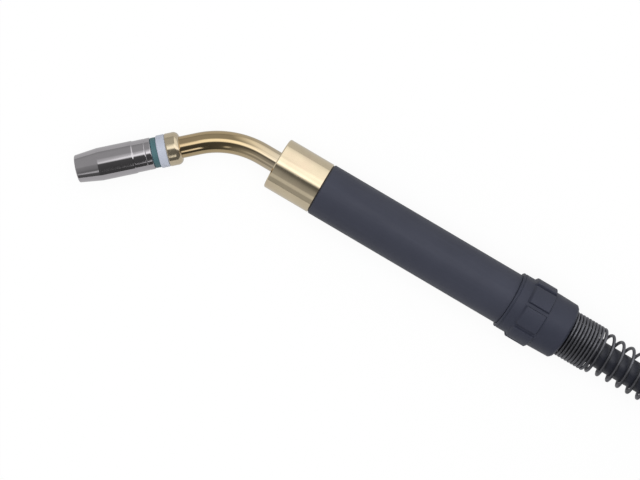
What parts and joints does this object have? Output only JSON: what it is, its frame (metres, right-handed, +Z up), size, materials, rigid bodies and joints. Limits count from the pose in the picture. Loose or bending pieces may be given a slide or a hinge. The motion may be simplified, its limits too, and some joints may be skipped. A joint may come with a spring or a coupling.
{
  "type": "mig welding torch",
  "caption": "Straight machine MIG welding torch: slide-on gas nozzle, bent swan neck, round handle, strain-relief spring, and a coiled cable ending in a central connector.",
  "frame": {"origin": "middle of the handle tube, on its axis", "axes": "+X along the handle towards the cable, +Z up as the torch lies on a table; the neck bends from -X towards -Y in the XY plane"},
  "size_m": [0.7314, 0.2713, 0.05],
  "materials": {
    "nozzle_chrome": "bright chrome plate over copper",
    "tip_copper": "turned copper alloy",
    "diffuser_ceramic": "white ceramic",
    "holder_copper": "turned copper alloy",
    "grip_wire_steel": "bright spring wire",
    "seal_teal": "matte teal elastomer",
    "insulator_white": "smooth cool white moulding",
    "head_nut_brass": "turned brass",
    "neck_brass": "drawn and polished brass tube",
    "neck_sleeve_grey": "insulating sleeve",
    "conductor_copper": "plain copper",
    "liner_steel": "coated spiral steel liner",
    "collar_brass": "polished pale brass",
    "screw_steel": "blackened steel",
    "handle_grey": "slate grey tube, fine satin",
    "inner_sleeve_ivory": "insulating liner tube",
    "inner_brass": "turned brass",
    "ferrule_steel": "plated steel crimp",
    "cable_black": "black cable jacket",
    "rear_nut_grey": "moulded satin plastic",
    "spring_steel": "oil-blackened spring wire",
    "strap_fabric": "woven hook-and-loop strap",
    "boot_rubber": "moulded black rubber",
    "plug_housing_grey": "moulded plastic",
    "plug_brass": "turned brass",
    "plug_face_black": "insulating disc",
    "union_nut_grey": "ribbed moulded plastic"
  },
  "bodies": {
    "torch": {"contact_tip": "tip_copper", "gas_diffuser": "diffuser_ceramic", "tip_holder": "holder_copper", "nozzle_grip_spring": "grip_wire_steel", "nozzle_seal_ring": "seal_teal", "nozzle_insulator": "insulator_white", "head_nut": "head_nut_brass", "swan_neck": "neck_brass", "neck_insulation": "neck_sleeve_grey", "neck_conductor": "conductor_copper", "wire_liner": "liner_steel", "neck_collar": "collar_brass", "collar_grub_screws": "screw_steel", "handle_tube": "handle_grey", "handle_screws": "screw_steel", "neck_socket": "conductor_copper", "inner_sleeve": "inner_sleeve_ivory", "coupling_nut": "inner_brass", "cable_terminal": "conductor_copper", "crimp_ferrule": "ferrule_steel", "cable_inner_end": "cable_black", "spring_seat": "inner_sleeve_ivory", "strain_spring": "spring_steel", "cable_lead": "cable_black", "cable_coil": "cable_black", "cable_tail": "cable_black", "coil_straps": "strap_fabric", "plug_boot": "boot_rubber", "plug_housing": "plug_housing_grey", "plug_housing_screw": "screw_steel", "plug_block": "plug_brass", "plug_face": "plug_face_black", "plug_gas_nipple": "plug_brass", "plug_gas_seal": "boot_rubber", "plug_liner_nut": "plug_brass"},
    "nozzle": {"gas_nozzle": "nozzle_chrome"},
    "rear_nut": {"rear_nut": "rear_nut_grey"},
    "union_nut": {"plug_union_nut": "union_nut_grey"},
    "control_pin_a": {"plug_control_pin_a": "plug_brass"},
    "control_pin_b": {"plug_control_pin_b": "plug_brass"}
  },
  "joints": [
    {"name": "nozzle_slide", "type": "slide", "parent": "torch", "child": "nozzle", "axis": [-0.7396, -0.673, 0], "range_m": [0, 0.022]},
    {"name": "rear_nut_turn", "type": "hinge", "parent": "torch", "child": "rear_nut", "pos_m": [0.1, 0, 0], "axis": [1, 0, 0], "continuous": true},
    {"name": "union_nut_turn", "type": "hinge", "parent": "torch", "child": "union_nut", "pos_m": [0.115, -0.2221, 0.0008], "axis": [1, 0, 0], "continuous": true},
    {"name": "control_pin_a_push", "type": "slide", "parent": "torch", "child": "control_pin_a", "axis": [1, 0, 0], "range_m": [0, 0.0025], "stiffness_N_per_m": 800, "springref_m": -0.001},
    {"name": "control_pin_b_push", "type": "slide", "parent": "torch", "child": "control_pin_b", "axis": [1, 0, 0], "range_m": [0, 0.0025], "stiffness_N_per_m": 800, "springref_m": -0.001}
  ]
}
